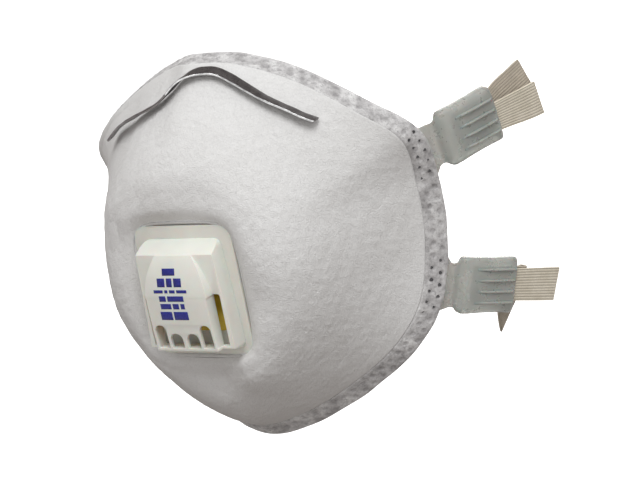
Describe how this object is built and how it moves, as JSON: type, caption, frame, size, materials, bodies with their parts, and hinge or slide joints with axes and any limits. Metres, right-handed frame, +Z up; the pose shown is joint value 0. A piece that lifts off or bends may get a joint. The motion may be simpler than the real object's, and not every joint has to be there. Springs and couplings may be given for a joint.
{
  "type": "disposable dust mask",
  "caption": "Moulded cup dust mask with a welded rim, bendable nose clip, exhalation valve with a flap inside, and soft buckles that hold elastic strap ends.",
  "frame": {"origin": "centre of the face opening, midway between the left and right edges of the rim and between its nose and chin points, level with the nose and chin points", "axes": "+Z up as worn, +Y towards the wearer's face, +X to the right when looking at the valve"},
  "size_m": [0.1751, 0.1083, 0.1336],
  "materials": {
    "cover_web": "matt, faintly fluffy spunbond",
    "filter_media": "matt",
    "carbon_media": "matt",
    "lining": "matt, smooth",
    "rim_web": "embossed, speckled grey",
    "clip_metal": "satin",
    "foam": "matt closed-cell foam",
    "valve_plastic": "satin ivory moulding",
    "diaphragm": "satin ochre",
    "soft_buckle": "translucent grey-green, satin",
    "webbing": "ribbed elastic",
    "weld_pin": "melted, dark"
  },
  "bodies": {
    "mask": {"outer_cover_web": "cover_web", "filter_layer": "filter_media", "carbon_layer": "carbon_media", "inner_shell": "lining", "welded_rim": "rim_web", "nose_clip": "clip_metal", "nose_foam": "foam", "valve_seat": "valve_plastic", "valve_inner_ring": "valve_plastic", "valve_cover": "valve_plastic", "flap_root": "diaphragm", "flap_clamp_bar": "valve_plastic", "upper_right_tab": "soft_buckle", "upper_left_tab": "soft_buckle", "lower_right_tab": "soft_buckle", "lower_left_tab": "soft_buckle", "tab_weld_pins": "weld_pin"},
    "flap": {"valve_flap": "diaphragm"},
    "upper_right_buckle": {"upper_right_buckle": "soft_buckle", "upper_right_strap_loop": "webbing"},
    "upper_right_front_strap": {"upper_right_front_strap": "webbing"},
    "upper_right_rear_strap": {"upper_right_rear_strap": "webbing"},
    "upper_left_buckle": {"upper_left_buckle": "soft_buckle", "upper_left_strap_loop": "webbing"},
    "upper_left_front_strap": {"upper_left_front_strap": "webbing"},
    "upper_left_rear_strap": {"upper_left_rear_strap": "webbing"},
    "lower_right_buckle": {"lower_right_buckle": "soft_buckle", "lower_right_strap_loop": "webbing"},
    "lower_right_front_strap": {"lower_right_front_strap": "webbing"},
    "lower_right_rear_strap": {"lower_right_rear_strap": "webbing"},
    "lower_left_buckle": {"lower_left_buckle": "soft_buckle", "lower_left_strap_loop": "webbing"},
    "lower_left_front_strap": {"lower_left_front_strap": "webbing"},
    "lower_left_rear_strap": {"lower_left_rear_strap": "webbing"}
  },
  "joints": [
    {"name": "flap_hinge", "type": "hinge", "parent": "mask", "child": "flap", "pos_m": [0, -0.03004, 0.0071], "axis": [-1, 0, 0], "range_deg": [0, 8], "stiffness_Nm_per_rad": 0.0004},
    {"name": "upper_right_neck", "type": "hinge", "parent": "mask", "child": "upper_right_buckle", "pos_m": [0.0667, 0.02653, 0.0266], "axis": [-0.0295, -0.2504, 0.9677], "range_deg": [-30, 30], "stiffness_Nm_per_rad": 0.02},
    {"name": "upper_right_front_feed", "type": "slide", "parent": "upper_right_buckle", "child": "upper_right_front_strap", "axis": [0.5021, 0.8334, 0.2309], "range_m": [-0.005, 0.005]},
    {"name": "upper_right_rear_feed", "type": "slide", "parent": "upper_right_buckle", "child": "upper_right_rear_strap", "axis": [0.5021, 0.8334, 0.2309], "range_m": [-0.005, 0.005]},
    {"name": "upper_left_neck", "type": "hinge", "parent": "mask", "child": "upper_left_buckle", "pos_m": [-0.06579, 0.02695, 0.02626], "axis": [-0.0135, 0.12, -0.9927], "range_deg": [-30, 30], "stiffness_Nm_per_rad": 0.02},
    {"name": "upper_left_front_feed", "type": "slide", "parent": "upper_left_buckle", "child": "upper_left_front_strap", "axis": [-0.2005, 0.9723, 0.1203], "range_m": [-0.005, 0.005]},
    {"name": "upper_left_rear_feed", "type": "slide", "parent": "upper_left_buckle", "child": "upper_left_rear_strap", "axis": [-0.2005, 0.9723, 0.1203], "range_m": [-0.005, 0.005]},
    {"name": "lower_right_neck", "type": "hinge", "parent": "mask", "child": "lower_right_buckle", "pos_m": [0.06339, 0.02765, -0.02209], "axis": [0.2037, 0.1641, 0.9652], "range_deg": [-30, 30], "stiffness_Nm_per_rad": 0.02},
    {"name": "lower_right_front_feed", "type": "slide", "parent": "lower_right_buckle", "child": "lower_right_front_strap", "axis": [0.4915, 0.8355, -0.2457], "range_m": [-0.005, 0.005]},
    {"name": "lower_right_rear_feed", "type": "slide", "parent": "lower_right_buckle", "child": "lower_right_rear_strap", "axis": [0.4915, 0.8355, -0.2457], "range_m": [-0.005, 0.005]},
    {"name": "lower_left_neck", "type": "hinge", "parent": "mask", "child": "lower_left_buckle", "pos_m": [-0.06339, 0.02765, -0.02209], "axis": [0.2037, -0.1641, -0.9652], "range_deg": [-30, 30], "stiffness_Nm_per_rad": 0.02},
    {"name": "lower_left_front_feed", "type": "slide", "parent": "lower_left_buckle", "child": "lower_left_front_strap", "axis": [-0.4915, 0.8355, -0.2457], "range_m": [-0.005, 0.005]},
    {"name": "lower_left_rear_feed", "type": "slide", "parent": "lower_left_buckle", "child": "lower_left_rear_strap", "axis": [-0.4915, 0.8355, -0.2457], "range_m": [-0.005, 0.005]}
  ],
  "couplings": [
    {"joint": "upper_right_rear_feed", "follows": "upper_right_front_feed", "ratio": -1},
    {"joint": "upper_left_rear_feed", "follows": "upper_left_front_feed", "ratio": -1},
    {"joint": "lower_right_rear_feed", "follows": "lower_right_front_feed", "ratio": -1},
    {"joint": "lower_left_rear_feed", "follows": "lower_left_front_feed", "ratio": -1}
  ]
}
